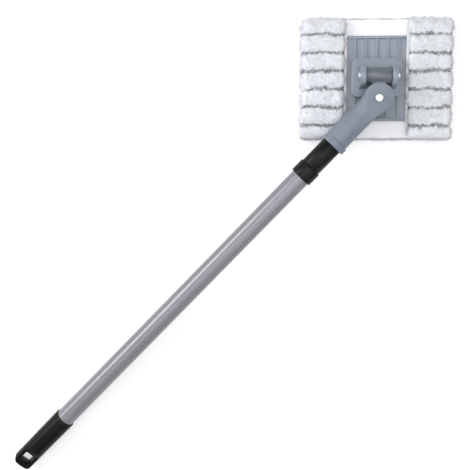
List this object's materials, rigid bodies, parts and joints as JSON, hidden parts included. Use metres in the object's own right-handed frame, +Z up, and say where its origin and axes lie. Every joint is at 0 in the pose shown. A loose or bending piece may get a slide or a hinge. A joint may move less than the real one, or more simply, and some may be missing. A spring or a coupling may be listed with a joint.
{
  "type": "flat mop",
  "caption": "Flat mop with a pocketed microfibre pad on a plastic plate, a two-axis knuckle joint and a telescopic twist-lock pole with a hanging grip.",
  "frame": {"origin": "centre of the pad's wiping face, on the floor", "axes": "+Z up from the wiping face; +X along the pad's length; +Y across it, away from the folded pole"},
  "size_m": [0.5049, 0.5275, 0.0592],
  "materials": {
    "pile_white": "woven",
    "wadding": "matte",
    "backing_fabric": "woven",
    "hem_tape": "woven",
    "plate_grey": "satin",
    "zinc_steel": "satin",
    "knuckle_grey": "satin",
    "neck_grey": "satin",
    "black_plastic": "satin",
    "inner_tube_grey": "satin",
    "lock_nylon": "matte",
    "expander_nylon": "matte",
    "tube_grey_paint": "satin",
    "grip_black": "satin"
  },
  "bodies": {
    "head": {"base_plate": "plate_grey", "tilt_pin": "zinc_steel", "tilt_pin_washer": "zinc_steel", "pad_pile": "pile_white", "pad_wadding": "wadding", "pad_backing": "backing_fabric", "pocket_left": "pile_white", "pocket_right": "pile_white", "pocket_hems": "hem_tape"},
    "knuckle": {"knuckle": "knuckle_grey"},
    "neck": {"neck_yoke": "neck_grey", "swivel_pin": "zinc_steel", "swivel_pin_washer": "zinc_steel", "pole_socket": "black_plastic", "socket_rivet": "zinc_steel", "inner_tube": "inner_tube_grey", "lock_plug": "lock_nylon", "lock_spindle": "zinc_steel", "spindle_stop": "zinc_steel"},
    "expander": {"expander_sleeve": "expander_nylon"},
    "cone": {"cone_nut": "lock_nylon"},
    "pole": {"outer_tube": "tube_grey_paint", "guide_bush": "black_plastic", "collar": "black_plastic", "grip": "grip_black"}
  },
  "joints": [
    {"name": "head_tilt", "type": "hinge", "parent": "head", "child": "knuckle", "pos_m": [0, 0, 0.0463], "axis": [-1, 0, 0], "range_deg": [0, 171]},
    {"name": "head_swivel", "type": "hinge", "parent": "knuckle", "child": "neck", "pos_m": [0, -0.02392, 0.0444], "axis": [0, -0.079, 0.9969], "range_deg": [-30, 118]},
    {"name": "pole_twist", "type": "hinge", "parent": "neck", "child": "expander", "pos_m": [-0.37376, -0.41246, 0.01361], "axis": [-0.6921, -0.7195, -0.057], "range_deg": [0, 180]},
    {"name": "cone_travel", "type": "slide", "parent": "expander", "child": "cone", "axis": [0.6921, 0.7195, 0.057], "range_m": [0, 0.0016]},
    {"name": "pole_extend", "type": "slide", "parent": "expander", "child": "pole", "axis": [-0.6921, -0.7195, -0.057], "range_m": [0, 0.38]}
  ],
  "couplings": [
    {"joint": "cone_travel", "follows": "pole_twist", "m_per_rad": 0.00047746}
  ]
}
